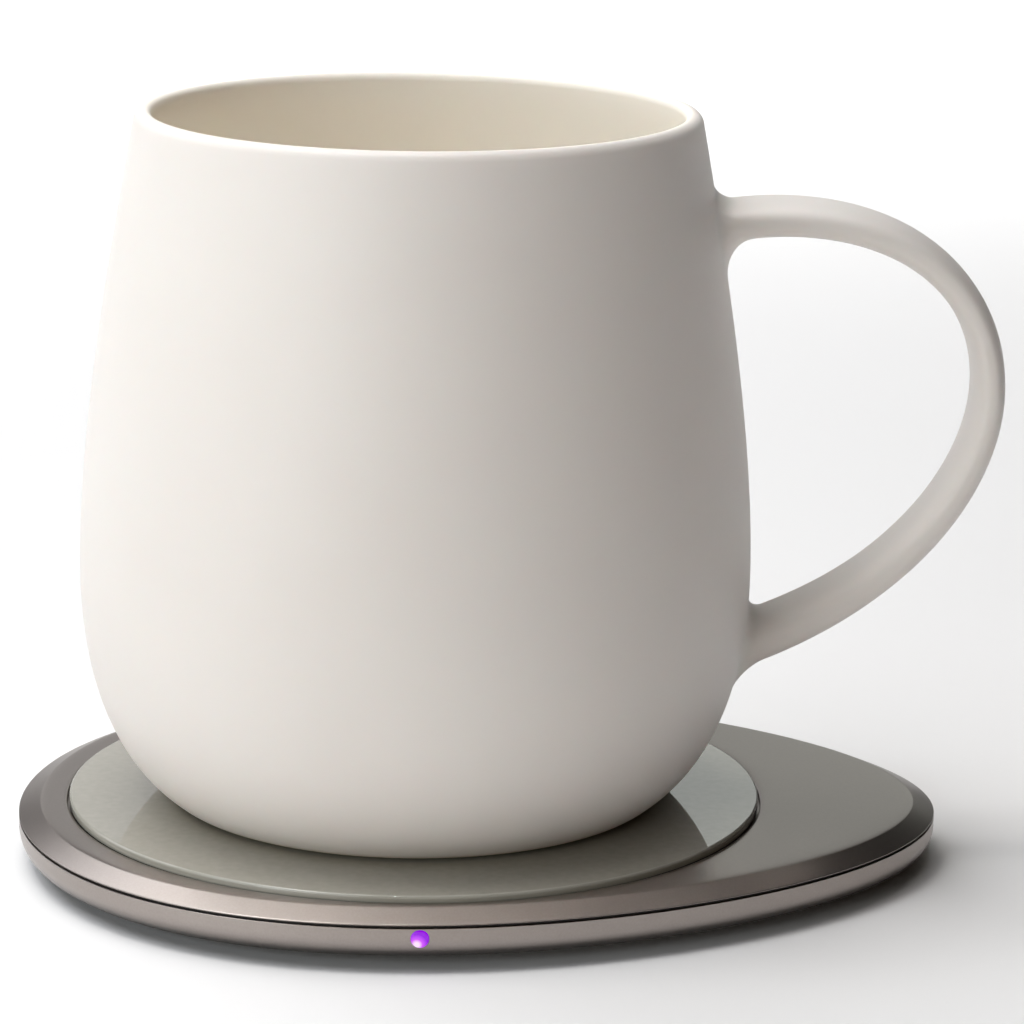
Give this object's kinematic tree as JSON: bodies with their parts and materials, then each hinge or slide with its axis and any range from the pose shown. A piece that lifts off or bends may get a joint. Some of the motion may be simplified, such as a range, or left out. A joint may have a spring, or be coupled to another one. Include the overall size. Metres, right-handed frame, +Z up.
{
  "type": "self heating mug",
  "caption": "Handled mug on an egg-shaped warming plate with a glass disc, induction coil, indicator light and power inlet; the mug lifts off.",
  "frame": {"origin": "underside of the plate's foot pad, on the axis of the mug and the glass disc", "axes": "+X towards the handle and the plate's narrow end, -Y towards the indicator at the front, +Z up"},
  "size_m": [0.1313, 0.1024, 0.1009],
  "materials": {
    "ceramic": "fired body with a soft matte glaze, warm white",
    "anodised_metal": "bead-blasted and anodised, warm grey",
    "shell_metal": "bead-blasted and anodised, warm grey",
    "backed_glass": "clear glass with a printed grey-green back, polished",
    "dark_rubber": "dark gasket",
    "pad_rubber": "matte silicone pad",
    "lens_plastic": "clear light pipe, lit purple",
    "led_body": "moulded emitter body",
    "board_laminate": "green circuit laminate",
    "copper": "enamelled copper wire",
    "ferrite": "sintered ferrite, dark grey",
    "clear_film": "amber insulating film",
    "carrier_plastic": "moulded black plastic",
    "aluminium_sheet": "rolled sheet",
    "soft_silicone": "pale silicone",
    "sensor_glass": "glass bead, dark red",
    "lead_sleeve": "black sleeve",
    "chip_resin": "moulded black resin",
    "ceramic_chip": "tan ceramic with tinned ends",
    "steel": "plated steel",
    "contact_plastic": "moulded black plastic",
    "silver_film": "fired metal film",
    "foam_tape": "bonding tape"
  },
  "bodies": {
    "base": {"glass_disc": "backed_glass", "glass_adhesive_ring": "foam_tape", "top_cover": "anodised_metal", "seam_gasket": "dark_rubber", "lower_shell": "shell_metal", "foot_pad": "pad_rubber", "cover_screw_1": "steel", "cover_screw_2": "steel", "cover_screw_3": "steel", "cover_screw_4": "steel", "cover_screw_5": "steel", "main_board": "board_laminate", "board_screw_1": "steel", "board_screw_2": "steel", "board_screw_3": "steel", "controller_chip": "chip_resin", "driver_chip": "chip_resin", "power_inductor": "ferrite", "resonant_capacitor_1": "ceramic_chip", "resonant_capacitor_2": "ceramic_chip", "resonant_capacitor_3": "ceramic_chip", "resonant_capacitor_4": "ceramic_chip", "input_capacitor_1": "ceramic_chip", "input_capacitor_2": "ceramic_chip", "shield_plate": "aluminium_sheet", "coil_carrier": "carrier_plastic", "ferrite_sheet": "ferrite", "transmitter_coil": "copper", "insulating_sheet": "clear_film", "sensor_holder": "soft_silicone", "temperature_sensor": "sensor_glass", "sensor_lead": "lead_sleeve", "indicator_lens": "lens_plastic", "indicator_led": "led_body", "usb_socket": "steel", "usb_tongue": "contact_plastic"},
    "mug": {"mug_body": "ceramic", "heating_film": "silver_film", "base_cover": "ceramic"}
  },
  "joints": [
    {"name": "mug_lift", "type": "slide", "parent": "base", "child": "mug", "axis": [0, 0, 1], "range_m": [0, 0.12]}
  ]
}
